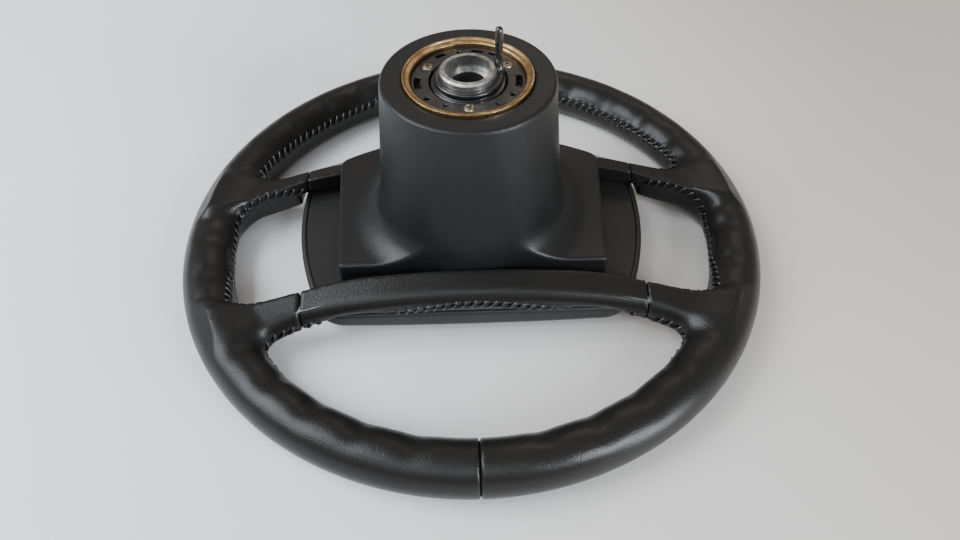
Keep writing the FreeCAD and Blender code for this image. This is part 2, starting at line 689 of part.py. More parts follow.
def make_carrier():
    """Moulded plate inside the ring, with screw holes, two round wells and short curved slots."""
    carrier = body_of("contact_carrier")
    lip, lip_top = f"{CARRIER_HOLE} + carrier_lip", f"{CARRIER_TOP} + carrier_lip_rise"
    turned(carrier, "CarrierSection", [
        (CARRIER_HOLE, SEAT), (RING_INNER, SEAT), (RING_INNER, CARRIER_TOP),
        (lip, CARRIER_TOP), (lip, lip_top), (CARRIER_HOLE, lip_top)])
    doc.recompute()
    screws = sketch_on(carrier, "XY_Plane", "CarrierScrewHoles", f"{CARRIER_TOP} + 1")
    circles(screws, on_circle(SCREW_CIRCLE, CARRIER_ANGLES), "carrier_screw")
    pocket(carrier, screws, "carrier_depth + 1")
    wells = sketch_on(carrier, "XY_Plane", "CarrierWells", f"{CARRIER_TOP} + 1")
    circles(wells, on_circle(f"( {SCREW_CIRCLE} + 1.5 )", (215, 330)), "carrier_well")
    pocket(carrier, wells, "6")
    slots = sketch_on(carrier, "XY_Plane", "CarrierSlots", CARRIER_TOP)
    near, far = f"{CARRIER_HOLE} + 3.2", f"{RING_INNER} - 1.8"
    for middle, spread in ((0, 8), (62, 5), (90, 5), (118, 5), (180, 8), (245, 5), (295, 5)):
        ends = (middle - spread, middle + spread)
        inner, outer = (on_circle(f"( {reach} )", ends) for reach in (near, far))
        outline(slots, [inner[0], (*outer[0], far), outer[1], inner[1]])
    pocket(carrier, slots, "4")
    return carrier


def make_screws(label, centres, radius, low, seat, head_radius, head_top):
    """Screws: shanks from low to the seat, and heads on or under it as far as head_top."""
    screws = body_of(label)
    shanks = sketch_on(screws, "XY_Plane", f"{label}_shanks", low)
    circles(shanks, centres, radius)
    pad(screws, shanks, f"{seat} - ( {low} )")
    heads = sketch_on(screws, "XY_Plane", f"{label}_heads", seat)
    circles(heads, centres, head_radius)
    pad(screws, heads, f"{head_top} - ( {seat} )")
    return screws


def make_collar():
    """Moulded collar on the sleeve with the tall finger that cancels the indicator switch."""
    collar = body_of("cancelling_collar")
    top = "shroud_top + collar_rise"
    turned(collar, "CollarSection", [
        ("sleeve_radius", SEAT), (COLLAR_FLANGE, SEAT), (COLLAR_FLANGE, CARRIER_TOP),
        (COLLAR_RADIUS, CARRIER_TOP), (COLLAR_RADIUS, f"{top} - 1"), (f"{COLLAR_RADIUS} - 1", top),
        ("sleeve_radius", top)])
    doc.recompute()
    side = sketch_on(collar, "YZ_Plane", "FingerOutline", "sleeve_radius + 0.3")
    half, tip = "finger_width / 2", "shroud_top + finger_rise"
    outline(side, [
        ("0 - finger_width * 1.6", CARRIER_TOP), ("finger_width * 1.6", CARRIER_TOP),
        (half, f"{CARRIER_TOP} + 11"), (half, f"{tip} - {half}", f"{half} * 1.03"),
        (f"0 - {half}", f"{tip} - {half}"), (f"0 - {half}", f"{CARRIER_TOP} + 11")])
    pad(collar, side, "finger_depth")
    collar.setExpression("Placement.Rotation.Angle", formula("finger_angle"))
    return collar


def make_shroud_screws():
    """Four screws up through the hub plate into the shroud's bosses."""
    screws = body_of("shroud_screws")
    centres = four("shroud_screw_x", "shroud_screw_y")
    shanks = sketch_on(screws, "XY_Plane", "ShroudShanks", FRAME_LOW)
    circles(shanks, centres, "screw_radius")
    pad(screws, shanks, "plate + boss_rise - 0.5")
    heads = sketch_on(screws, "XY_Plane", "ShroudHeads", f"{FRAME_LOW} - head_depth")
    circles(heads, centres, "screw_head")
    pad(screws, heads, "head_depth")
    return screws


def make_bushes():
    """Four flanged bushes in the hub plate that guide the pad's pins."""
    bushes = body_of("guide_bushes")
    centres = four("pin_x", "pin_y")
    flange = sketch_on(bushes, "XY_Plane", "BushFlange", f"{FRAME_LOW} - 1")
    circles(flange, centres, "bush_flange")
    pad(bushes, flange, "1")
    barrel = sketch_on(bushes, "XY_Plane", "BushBarrel", FRAME_LOW)
    circles(barrel, centres, "bush_radius")
    pad(bushes, barrel, "plate")
    doc.recompute()
    bores = sketch_on(bushes, "XY_Plane", "BushBore", FRAME_TOP)
    circles(bores, centres, "pin_radius + pin_clearance")
    pocket(bushes, bores, "plate + 1")
    return bushes


def washer(label, inner, outer, low, high):
    """A flat ring round the Z axis."""
    ring = body_of(label)
    turned(ring, f"{label}_section", [(inner, low), (outer, low), (outer, high), (inner, high)])
    return ring


def make_fixed_contact():
    """The horn contact's fixed ring and the insulating ring that holds it under the hub plate."""
    low = "( pad_back + contact_sheet + stud_rise + horn_travel + stop_gap )"
    inner, outer = "contact_circle - contact_half", "contact_circle + contact_half"
    high = f"{low} + contact_sheet"
    return [washer("fixed_contact", inner, outer, low, high),
            washer("contact_insulator", f"{inner} - insulator_lap", f"{outer} + insulator_lap",
                   high, FRAME_LOW)]


# ---------------------------------------------------------------- horn pad

def make_cover():
    """Soft moulded cover with four screw posts inside and a recess for the badge."""
    posts = four("pad_screw_x", "pad_screw_low")
    cover = body_of("pad_cover")
    face = sketch_on(cover, "XY_Plane", "CoverOutline", "pad_face")
    outline(face, pad_sharp_outline())
    pad(cover, face, "pad_back - pad_face + pad_rim")
    round_edges(cover, "CoverCorners", "pad_corner", upright)
    round_edges(cover, "CoverEdge", "pad_edge", at_height("pad_face"))
    hollow = sketch_on(cover, "XY_Plane", "CoverHollow", "pad_back + pad_rim")
    outline(hollow, pad_outline("pad_wall"))
    pocket(cover, hollow, f"pad_back + pad_rim - {PAD_FLOOR}")
    post = sketch_on(cover, "XY_Plane", "CoverPosts", PAD_FLOOR)
    circles(post, posts, "screw_radius + post_wall")
    pad(cover, post, f"{TRAY_LOW} - {PAD_FLOOR}")
    thread = sketch_on(cover, "XY_Plane", "CoverThreads", TRAY_LOW)
    circles(thread, posts, "screw_radius")
    pocket(cover, thread, "post_thread")
    recess = sketch_on(cover, "XY_Plane", "BadgeRecess", "pad_face")
    circles(recess, [("0", "0")], "badge_radius")
    pocket(cover, recess, "badge_depth", up=True)
    return cover


def make_badge():
    """Plain round badge in the middle of the pad's face."""
    badge = body_of("pad_badge")
    face = "pad_face - 0.4"
    disc = sketch_on(badge, "XY_Plane", "BadgeDisc", face)
    circles(disc, [("0", "0")], "badge_radius")
    pad(badge, disc, "badge_depth + 0.4")
    round_edges(badge, "BadgeEdge", "0.35", at_height(face), "Chamfer")
    return badge


def make_pad_foam():
    """Foam block in the cover, with room for the screw posts and the pins' feet."""
    foam = body_of("pad_foam")
    block = sketch_on(foam, "XY_Plane", "FoamBlock", PAD_FLOOR)
    outline(block, pad_outline("pad_wall"))
    pad(foam, block, f"{TRAY_LOW} - {PAD_FLOOR}")
    doc.recompute()
    posts = sketch_on(foam, "XY_Plane", "FoamPostHoles", TRAY_LOW)
    circles(posts, four("pad_screw_x", "pad_screw_low"), "screw_radius + post_wall")
    pocket(foam, posts, f"{TRAY_LOW} - {PAD_FLOOR}")
    feet = sketch_on(foam, "XY_Plane", "FoamFootHoles", TRAY_LOW)
    circles(feet, four("pin_x", "pin_y"), "pin_foot")
    pocket(foam, feet, "pin_foot_depth")
    return foam


def make_tray():
    """Rigid tray that closes the pad's back."""
    tray = body_of("pad_tray")
    sheet_sketch = sketch_on(tray, "XY_Plane", "TrayOutline", TRAY_LOW)
    outline(sheet_sketch, pad_outline("pad_wall"))
    pad(tray, sheet_sketch, "tray")
    doc.recompute()
    for name, centres, radius in (("TrayScrewHoles", four("pad_screw_x", "pad_screw_low"), "screw_radius"),
                                  ("TrayPinHoles", four("pin_x", "pin_y"), "pin_radius")):
        sketch = sketch_on(tray, "XY_Plane", name, "pad_back")
        circles(sketch, centres, radius)
        pocket(tray, sketch, "tray")
    return tray


def make_pins():
    """Four guide pins with flat feet under the tray, and the clips that stop the pad falling out."""
    centres = four("pin_x", "pin_y")
    clip_low = f"( {FRAME_TOP} + stop_gap )"
    pins = body_of("guide_pins")
    feet = sketch_on(pins, "XY_Plane", "PinFeet", f"{TRAY_LOW} - pin_foot_depth")
    circles(feet, centres, "pin_foot")
    pad(pins, feet, "pin_foot_depth")
    shafts = sketch_on(pins, "XY_Plane", "PinShafts", TRAY_LOW)
    circles(shafts, centres, "pin_radius")
    pad(pins, shafts, f"{clip_low} + clip + pin_end - {TRAY_LOW}")

    clips = body_of("pin_clips")
    rings = sketch_on(clips, "XY_Plane", "ClipWashers", clip_low)
    circles(rings, centres, "clip_radius")
    circles(rings, centres, "pin_radius")
    pad(clips, rings, "clip")
    return [pins, clips]


def make_moving_contact():
    """The horn contact's moving plate on the tray, with three studs."""
    top = "pad_back + contact_sheet"
    plate = washer("contact_plate", "contact_circle - contact_half - 2",
                   "contact_circle + contact_half + 3", "pad_back", top)
    studs = body_of("contact_studs")
    sketch = sketch_on(studs, "XY_Plane", "StudCircles", top)
    circles(sketch, on_circle("contact_circle", (90, 210, 330)), "stud_radius")
    pad(studs, sketch, "stud_rise")
    return [plate, studs]


def make_pad():
    """Everything that moves when the horn is pressed."""
    screws = make_screws("pad_screws", four("pad_screw_x", "pad_screw_low"), "screw_radius",
                         f"{TRAY_LOW} - post_thread + 1", "pad_back", "screw_head",
                         "pad_back + head_depth")
    return [make_cover(), make_badge(), make_pad_foam(), make_tray(), *make_pins(),
            *make_moving_contact(), screws]


def make_springs():
    """Four return springs round the guide pins, between the tray and the bushes' flanges.

    Each is the closed tube that its coils fill.
    """
    low, high = "pad_back + stop_gap", f"{FRAME_LOW} - 1"
    sleeves = []
    for number, (x, y) in enumerate(four("pin_x", "pin_y")):
        outer = cylinder(f"SpringOutside{number}", "spring_radius + spring_wire", low, high, x, y)
        inner = cylinder(f"SpringInside{number}", "spring_radius - spring_wire", low, high, x, y)
        sleeves.append(cut(f"spring_{number}", outer, [inner]))
    group = doc.addObject("Part::Compound", "return_springs")
    group.Label = "return_springs"
    group.Links = sleeves
    return group


# ---------------------------------------------------------------- the whole wheel

def build():
    room = pad_room()
    frame = make_frame(room)
    parts = [torus("rim_core", "core_radius"), frame, make_foam(frame), *make_rim_leather(frame),
             *make_bands(frame, room), make_sleeve(), make_shroud(), make_slip_ring(), make_carrier()]
    parts.append(make_screws("carrier_screws", on_circle(SCREW_CIRCLE, CARRIER_ANGLES), "carrier_screw",
                             f"{SEAT} - carrier_thread", CARRIER_TOP, "carrier_head",
                             f"{CARRIER_TOP} + 2"))
    parts += [make_collar(), make_shroud_screws(), make_bushes(), *make_fixed_contact()]
    parts += make_pad()
    parts.append(make_springs())
    doc.recompute()
    return parts


def check(parts):
    """Stop before anything is written if an object failed or a sub-part has no sound shape."""
    failed = [o.Name for o in doc.Objects if "Invalid" in o.State or "Error" in o.State]
    if failed:
        raise RuntimeError(f"failed objects: {failed}")
    for part in parts:
        if part.Shape.isNull() or not part.Shape.isValid() or not part.Shape.Solids:
            raise RuntimeError(f"bad shape: {part.Label}")


def write(parts):
    os.makedirs("parts", exist_ok=True)
    for part in parts:
        part.Shape.exportStep(f"parts/{part.Label}.step")


wheel = build()
check(wheel)
write(wheel)
for piece in wheel:
    print(piece.Label, len(piece.Shape.Solids), round(piece.Shape.Volume))
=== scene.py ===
import math

import bmesh
import bpy
import numpy as np
import openvdb
from mathutils import Matrix, Vector
from mathutils.bvhtree import BVHTree
from mathutils.kdtree import KDTree


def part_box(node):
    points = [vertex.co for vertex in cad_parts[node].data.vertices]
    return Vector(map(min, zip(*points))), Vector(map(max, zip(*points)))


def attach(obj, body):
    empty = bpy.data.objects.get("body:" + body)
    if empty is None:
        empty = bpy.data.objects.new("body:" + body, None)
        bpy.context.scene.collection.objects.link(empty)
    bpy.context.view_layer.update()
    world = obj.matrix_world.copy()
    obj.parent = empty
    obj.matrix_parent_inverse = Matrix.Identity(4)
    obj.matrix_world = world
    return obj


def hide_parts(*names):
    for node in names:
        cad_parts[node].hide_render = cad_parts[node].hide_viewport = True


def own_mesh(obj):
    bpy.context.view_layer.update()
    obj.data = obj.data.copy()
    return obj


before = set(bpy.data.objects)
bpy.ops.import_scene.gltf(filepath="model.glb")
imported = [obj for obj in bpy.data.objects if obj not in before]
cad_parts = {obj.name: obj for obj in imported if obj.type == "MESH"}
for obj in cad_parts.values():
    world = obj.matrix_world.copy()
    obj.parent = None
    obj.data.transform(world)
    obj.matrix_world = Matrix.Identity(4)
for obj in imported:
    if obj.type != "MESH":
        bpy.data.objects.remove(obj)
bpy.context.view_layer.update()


# ---- The table, the light and the camera ------------------------------------------------------
# The wheel lies face down on a pale matt table top. Soft daylight comes from one broad window in
# front of it and to its right, with the rest of the room as an even fill.

MM = 0.001


def new_material(name):
    """A material with an empty tree but for its Principled shader and output."""
    material = bpy.data.materials.new(name)
    material.use_nodes = True
    shader = material.node_tree.nodes["Principled BSDF"]
    return material, material.node_tree, shader


def add(tree, kind, **values):
    """A node with its properties and inputs set; an input is named as in the interface."""
    node = tree.nodes.new(kind)
    for key, content in values.items():
        if hasattr(node, key):
            setattr(node, key, content)
        else:
            node.inputs[key.replace("_", " ")].default_value = content
    return node


def ramp(tree, source, stops):
    """A colour ramp from a mask; stops are (place, colour)."""
    node = tree.nodes.new("ShaderNodeValToRGB")
    while len(node.color_ramp.elements) < len(stops):
        node.color_ramp.elements.new(0.5)
    for element, (place, colour) in zip(node.color_ramp.elements, stops):
        element.position = place
        element.color = (*colour, 1)
    tree.links.new(source, node.inputs["Fac"])
    return node


bpy.ops.mesh.primitive_plane_add(size=6)
table_top = bpy.context.object
table_top.name = "table_top"
table_top.location.z = -0.0002
table_painted_light_to_shade, tree, shader = new_material("table_painted_light_and_shade")
shader.inputs["Roughness"].default_value = 0.55
# the table's colour is painted light and shade across X: pale and cool on the left where the light falls,
# darker and warmer towards the right as the light falls off
painted_shade_across_table = add(tree, "ShaderNodeSeparateXYZ")
tree.links.new(add(tree, "ShaderNodeTexCoord").outputs["Generated"], painted_shade_across_table.inputs[0])
tint = ramp(tree, painted_shade_across_table.outputs["X"], [(0.44, (0.90, 0.915, 0.95)), (0.56, (0.50, 0.455, 0.405))])
tree.links.new(tint.outputs["Color"], shader.inputs["Base Color"])
table_top.data.materials.append(table_painted_light_to_shade)

room = bpy.data.worlds.new("room")
room.use_nodes = True
room.node_tree.nodes["Background"].inputs["Color"].default_value = (1.0, 0.94, 0.87, 1)
room.node_tree.nodes["Background"].inputs["Strength"].default_value = 0.29
bpy.context.scene.world = room


def soft_light(name, place, towards, size, watts, colour):
    lamp = bpy.data.lights.new(name, "AREA")
    lamp.shape = "RECTANGLE"
    lamp.size, lamp.size_y = size
    lamp.energy = watts
    lamp.color = colour
    holder = bpy.data.objects.new(name, lamp)
    bpy.context.scene.collection.objects.link(holder)
    holder.location = place
    holder.rotation_euler = (Vector(towards) - Vector(place)).to_track_quat("-Z", "Y").to_euler()


soft_light("side_light", (-1.5, -0.1, 1.5), (-0.3, 0.1, 0), (1.5, 1.5), 70, (0.9, 0.95, 1.0))
soft_light("front_light", (-0.6, -1.6, 1.9), (-0.1, 0, 0), (1.8, 1.4), 20, (0.86, 0.93, 1.0))
soft_light("window", (0.85, -1.0, 0.75), (0, 0, 0.05), (0.28, 0.42), 13, (0.9, 0.95, 1.0))
soft_light("low_window", (1.0, -0.75, 0.3), (0, 0, 0.09), (0.22, 0.5), 11, (0.88, 0.94, 1.0))
soft_light("ceiling", (0.5, 1.8, 2.0), (0, 0, 0), (1.6, 1.0), 6, (1.0, 0.86, 0.7))

camera = bpy.data.cameras.new("camera")
camera.sensor_width = 36
camera.lens = 29.78
viewer = bpy.data.objects.new("camera", camera)
bpy.context.scene.collection.objects.link(viewer)
eye, aim, roll = Vector((-0.00374, -0.3742, 0.4038)), Vector((0.00492, -0.0192, 0)), -0.0118
forward = (aim - eye).normalized()
right = forward.cross(Vector((0, 0, 1))).normalized()
up = right.cross(forward)
tilted_right = math.cos(roll) * right + math.sin(roll) * up
tilted_up = math.cos(roll) * up - math.sin(roll) * right
facing = Matrix((tilted_right, tilted_up, -forward)).transposed().to_4x4()
viewer.matrix_world = Matrix.Translation(eye) @ facing
bpy.context.scene.camera = viewer


# ---- Leather of the rim and of the two bands ---------------------------------------------------
# Four hides wrapped wet over moulded foam: the left and right halves of the rim with their spoke
# roots, and one over each band. They butt at seams, and their edges are laced inside the openings.

grip_low, grip_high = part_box("rim_leather_right")
GRIP = (grip_high.z - grip_low.z) / 2 / MM          # radius of the grip
RIM = grip_high.x / MM - GRIP                       # radius of the grip's centre circle
BAND_END = RIM - 2
SEAM_LOWER, SEAM_UPPER = 105, 112                   # where the hides butt, from the middle
SEAM_GAP = 0.12
ROOT = 13                                           # radius of the hollow where a spoke meets the rim
GROOVE_FIRST, GROOVE_STEP, GROOVE_DEPTH = 12, 10.6, 1.7    # finger grooves, degrees and mm

# one row per station along a band: x, inner edge, outer edge, crest, underside
LOWER_BAND = [(0, 58.4, 76, 46.5, 26), (43, 58.3, 76.3, 44.8, 26), (83, 59.2, 77.6, 40.3, 25),
              (105, 63.2, 80, 37, 17), (131, 68.4, 89, 33.6, 11), (160, 74, 98, 31.5, 10)]
UPPER_BAND = [(0, 50, 80, 38.5, 26), (60, 46, 68.3, 38.4, 26), (92, 39.4, 58.6, 38, 24),
              (112, 35.8, 53.6, 36, 15), (133, 28.9, 50, 33.2, 11.5), (160, 18.5, 50, 31.5, 10.5)]


def through(stations, x):
    """A smooth line through the stations, flat at the first one."""
    places, heights = np.array(stations, float).T
    slopes = np.gradient(heights, places)
    slopes[0] = 0
    i = np.clip(np.searchsorted(places, x) - 1, 0, len(places) - 2)
    span = places[i + 1] - places[i]
    t = np.clip((x - places[i]) / span, 0, 1.3)
    return ((2 * t ** 3 - 3 * t ** 2 + 1) * heights[i] + (t ** 3 - 2 * t ** 2 + t) * span * slopes[i]
            + (3 * t ** 2 - 2 * t ** 3) * heights[i + 1] + (t ** 3 - t ** 2) * span * slopes[i + 1])


def join(a, b, radius):
    """Two solids joined with a hollow fillet; a and b are distances, negative inside."""
    return np.maximum(radius, np.minimum(a, b)) - np.hypot(np.maximum(radius - a, 0),
                                                          np.maximum(radius - b, 0))


def meet(a, b, radius):
    """What two solids share, with a rounded edge."""
    return np.minimum(-radius, np.maximum(a, b)) + np.hypot(np.maximum(radius + a, 0),
                                                           np.maximum(radius + b, 0))


def field(low, high, step):
    """The x, y and z of a grid of points, as arrays that broadcast together."""
    axes = [np.arange(a, b + step, step, dtype=np.float32) for a, b in zip(low, high)]
    return (axes[0][:, None, None], axes[1][None, :, None], axes[2][None, None, :])


def skin(name, distance, low, step, body):
    """The surface of a solid given by its distances on a grid, as a mesh that rides on a body."""
    grid = openvdb.FloatGrid(3.0 * step)
    grid.copyFromArray(np.ascontiguousarray(distance, dtype=np.float32))
    points, _, quads = grid.convertToPolygons(isovalue=0.0, adaptivity=0.0)
    mesh = bpy.data.meshes.new(name)
    mesh.from_pydata(((points * step + np.array(low)) * MM).tolist(), [], quads.tolist())
    mesh.validate()
    mesh.update()
    mesh.shade_smooth()
    piece = bpy.data.objects.new(name, mesh)
    bpy.context.scene.collection.objects.link(piece)
    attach(piece, body)
    return piece


def pad_edge(x, y):
    """Distance outside the horn pad's outline: bowed sides, straight foot and crowned top."""
    side = np.hypot(np.abs(x) + 84, y - 22) - 200
    crown = np.hypot(x, y + 355) - 431
    return meet(meet(side, -72 - y, 10), crown, 10)


def band_solid(x, y, z, rows, sign):
    """Distance outside a band: crisp inner edge, round outer shoulder, back falling outwards."""
    reach = np.abs(x)
    inner, outer, crest, low = (through([(r[0], r[k]) for r in rows], reach) for k in (1, 2, 3, 4))
    v = y * sign
    back = (z - crest + 5 * (v - inner) / (outer - inner)) * 0.96
    body = meet(v - outer, back, 6)
    body = meet(body, inner - v, 2.2)
    body = meet(body, low - z, 4)
    over_pad = np.maximum(pad_edge(x, y) - 2.5, z - 24)
    return meet(body, -over_pad, 1.5)


LEATHER_STEP = 1.25
leather_low = (-195, -195, -4)
x, y, z = field(leather_low, (195, 195, 51), LEATHER_STEP)
out = np.hypot(x, y)
round_rim = np.degrees(np.arctan2(np.abs(x), -y))
round_grip = np.degrees(np.arctan2(z - GRIP, RIM - out))
count = (round_rim - GROOVE_FIRST) / GROOVE_STEP
groove = np.where(count > -0.5, np.cos(np.pi * (count - np.round(count))) ** 4, 0)
groove = groove * np.exp(-((round_grip - 62) / 42) ** 2) * GROOVE_DEPTH
bands = np.minimum(band_solid(x, y, z, LOWER_BAND, -1), band_solid(x, y, z, UPPER_BAND, 1))
bands = np.maximum(bands, out - BAND_END)
clear_of_spokes = np.clip((bands - 4) / 16, 0, 1)
rim_solid = np.hypot(out - RIM, z - GRIP) - GRIP + groove * clear_of_spokes
hide = join(rim_solid, bands, ROOT)

seam = np.where(out < 150, np.where(y < 0, SEAM_LOWER, SEAM_UPPER), 0)
between = np.maximum(np.abs(x) - seam, out - 150)
hides = {
    "rim_leather_left": meet(hide, x + seam + SEAM_GAP, 0.9),
    "rim_leather_right": meet(hide, seam - x + SEAM_GAP, 0.9),
    "lower_band_leather": meet(hide, np.maximum(between, y) + SEAM_GAP, 0.9),
    "upper_band_leather": meet(hide, np.maximum(between, -y) + SEAM_GAP, 0.9),
}
leather_pieces = {name: skin(f"{name}_hide", solid, leather_low, LEATHER_STEP, "wheel")
                  for name, solid in hides.items()}
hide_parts("rim_leather_left")
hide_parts("rim_leather_right")
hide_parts("lower_band_leather")
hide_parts("upper_band_leather")

# the foam inside, seen only as a dark line between two hides
foam = skin("foam_filling", hide + 1.7, leather_low, LEATHER_STEP, "wheel")
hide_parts("rim_foam", "lower_band_foam", "upper_band_foam")

# lacing: one line round the wall of each opening, found by looking outwards from its middle
whole = bmesh.new()
for piece in leather_pieces.values():
    whole.from_mesh(piece.data)
surface = BVHTree.FromBMesh(whole)
whole.free()
LACE_PITCH, LACE_HALF, LACE_SLANT, LACE_THREAD = 5.8, 3.1, 2.2, 0.9
# each opening: its middle, the lacing's height on the rim and on the band, and how far off it can be
OPENINGS = [((0, -112), 11.5, 34, 170), ((0, 108), 20, 27, 170), ((-136, -18), 18, 30, 62),
            ((136, -18), 18, 30, 62)]


def lacing_lines(centre, at_rim, at_band, reach):
    """Runs of points on the leather round one opening, at even steps."""
    runs, run = [], []
    for step in range(1081):
        angle = math.radians(step / 3)
        way = Vector((math.cos(angle), math.sin(angle), 0))
        towards_band = abs(way.y) ** 5
        if abs(centre[0]) < 1:
            towards_band = max(0, way.y * (1 if centre[1] < 0 else -1)) ** 0.7
        height = at_rim + (at_band - at_rim) * towards_band
        start = Vector((centre[0], centre[1], height)) * MM
        hit, _, _, _ = surface.ray_cast(start, way, reach * MM)
        if hit is None or (run and (hit - run[-1]).length > 0.012):
            runs.append(run)
            run = []
        if hit is not None:
            run.append(hit)
    runs.append(run)
    runs = [r for r in runs if len(r) > 12]
    if len(runs) > 1 and (runs[0][0] - runs[-1][-1]).length < 0.01:
        runs[0] = runs.pop() + runs[0]
    return runs


def even(points, pitch):
    """Points at an even pitch along a run."""
    line = np.array([tuple(p) for p in points])
    along = np.concatenate([[0], np.cumsum(np.linalg.norm(np.diff(line, axis=0), axis=1))])
    wanted = np.arange(0, along[-1], pitch)
    return np.stack([np.interp(wanted, along, line[:, k]) for k in range(3)], axis=1)


def near_seam(point):
    """Whether a place on the leather is at a butt seam."""
    out = math.hypot(point[0], point[1]) / MM
    across = abs(point[0]) / MM
    if out > 150:
        return across < 2
    return abs(across - (SEAM_LOWER if point[1] < 0 else SEAM_UPPER)) < 2.5


def in_pad_room(point):
    """Whether a place is where the horn pad comes when it is pressed."""
    return point[2] / MM < 26 and float(pad_edge(point[0] / MM, point[1] / MM)) < 4


thread = bmesh.new()
lace_places = []
for opening in OPENINGS:
    for run in lacing_lines(*opening):
        fine = even(run, 0.5 * MM)
        lace_places += [tuple(p) for p in fine]
        places = even(run, LACE_PITCH * MM)
        ends = []
        for before, here, after in zip(places, places[1:], places[2:]):
            ahead = (Vector(after) - Vector(before)).normalized()
            on, normal, _, _ = surface.find_nearest(Vector(here))
            across = normal.cross(ahead).normalized() * LACE_HALF + ahead * LACE_SLANT
            ends.append([surface.find_nearest(on + across * side * MM)[0] for side in (1, -1)])
        for a, b in ends:
            if near_seam(a) or near_seam(b) or in_pad_room(a) or in_pad_room(b):
                continue
            rings = []
            for k in range(9):
                t = k / 8
                middle, outward, _, _ = surface.find_nearest(a.lerp(b, t))
                lift = (-1.1 + 1.75 * math.sin(math.pi * t) ** 0.5) * LACE_THREAD * MM
                middle = middle + outward * lift
                run_way = (b - a).normalized()
                side_way = outward.cross(run_way).normalized()
                over = run_way.cross(side_way)
                ring = []
                for n in range(7):
                    turn = 2 * math.pi * n / 7
                    ring.append(thread.verts.new(
                        middle + (side_way * math.cos(turn) + over * math.sin(turn)) * LACE_THREAD * MM))
                rings.append(ring)
            for low_ring, high_ring in zip(rings, rings[1:]):
                for n in range(7):
                    thread.faces.new((low_ring[n], low_ring[(n + 1) % 7],
                                      high_ring[(n + 1) % 7], high_ring[n]))
            thread.faces.new(rings[0][::-1])
            thread.faces.new(rings[-1])
lace_mesh = bpy.data.meshes.new("lacing")
bmesh.ops.recalc_face_normals(thread, faces=thread.faces)
thread.to_mesh(lace_mesh)
thread.free()
lace_mesh.shade_smooth()
lacing = bpy.data.objects.new("lacing", lace_mesh)
bpy.context.scene.collection.objects.link(lacing)
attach(lacing, "wheel")

# the hides' edges turn in under the lacing and pucker between its stitches
nearest_lace = KDTree(len(lace_places))
for number, place in enumerate(lace_places):
    nearest_lace.insert(place, number)
nearest_lace.balance()
for piece in leather_pieces.values():
    mesh = piece.data
    count = len(mesh.vertices)
    points = np.zeros(count * 3)
    normals = np.zeros(count * 3)
    mesh.vertices.foreach_get("co", points)
    mesh.vertices.foreach_get("normal", normals)
    points, normals = points.reshape(-1, 3), normals.reshape(-1, 3)
    moved = np.zeros(count)
    for i, point in enumerate(points):
        _, number, gap = nearest_lace.find(point)
        gap /= MM
        if gap < 6:
            pucker = 0.5 - 0.5 * math.cos(2 * math.pi * number * 0.5 / LACE_PITCH)
            valley = math.exp(-(gap / 1.0) ** 2)
            roll = pucker * math.exp(-((gap - 2.4) / 1.3) ** 2)
            moved[i] = 0.6 * roll - 0.8 * valley
    points += normals * (moved * MM)[:, None]
    mesh.vertices.foreach_set("co", points.ravel())
    mesh.update()


def node_group(name, inputs, outputs):
    """An empty shader group; sockets are (name, kind, default)."""
    group = bpy.data.node_groups.new(name, "ShaderNodeTree")
    for direction, sockets in (("INPUT", inputs), ("OUTPUT", outputs)):
        for label, kind, default in sockets:
            socket = group.interface.new_socket(label, in_out=direction, socket_type=f"NodeSocket{kind}")
            if default is not None:
                socket.default_value = default
    return group, group.nodes.new("NodeGroupInput"), group.nodes.new("NodeGroupOutput")


def link_math(tree, operation, a, b):
    """A maths node on two values, each a socket or a number."""
    node = tree.nodes.new("ShaderNodeMath")
    node.operation = operation
    for slot, content in zip(node.inputs, (a, b)):
        if isinstance(content, (int, float)):
            slot.default_value = content
        else:
            tree.links.new(content, slot)
    return node.outputs[0]


# pebble grain: cells with softened walls, fine pores and broad patches of handling
grain, grain_in, grain_out = node_group(
    "pebble_grain",
    [("Cell Scale", "Float", 900.0), ("Pore Scale", "Float", 2600.0), ("Patch Scale", "Float", 14.0)],
    [("Height", "Float", None), ("Patches", "Float", None)])
coords = grain.nodes.new("ShaderNodeTexCoord").outputs["Object"]
warp = add(grain, "ShaderNodeTexNoise", Scale=60.0, Detail=2.0)
grain.links.new(coords, warp.inputs["Vector"])
shifted = add(grain, "ShaderNodeVectorMath", operation="MULTIPLY_ADD")
grain.links.new(warp.outputs["Color"], shifted.inputs[0])
shifted.inputs[1].default_value = (0.0012, 0.0012, 0.0012)
grain.links.new(coords, shifted.inputs[2])
cells = add(grain, "ShaderNodeTexVoronoi", feature="SMOOTH_F1")
pores = add(grain, "ShaderNodeTexNoise", Detail=4.0)
patches = add(grain, "ShaderNodeTexNoise", Detail=5.0, Roughness=0.6)
for texture, socket in ((cells, "Cell Scale"), (pores, "Pore Scale"), (patches, "Patch Scale")):
    grain.links.new(shifted.outputs[0], texture.inputs["Vector"])
    grain.links.new(grain_in.outputs[socket], texture.inputs["Scale"])
domes = link_math(grain, "SUBTRACT", 1.0, cells.outputs["Distance"])
height = link_math(grain, "ADD", domes, link_math(grain, "MULTIPLY", pores.outputs["Fac"], 0.35))
grain.links.new(height, grain_out.inputs["Height"])
grain.links.new(patches.outputs["Fac"], grain_out.inputs["Patches"])


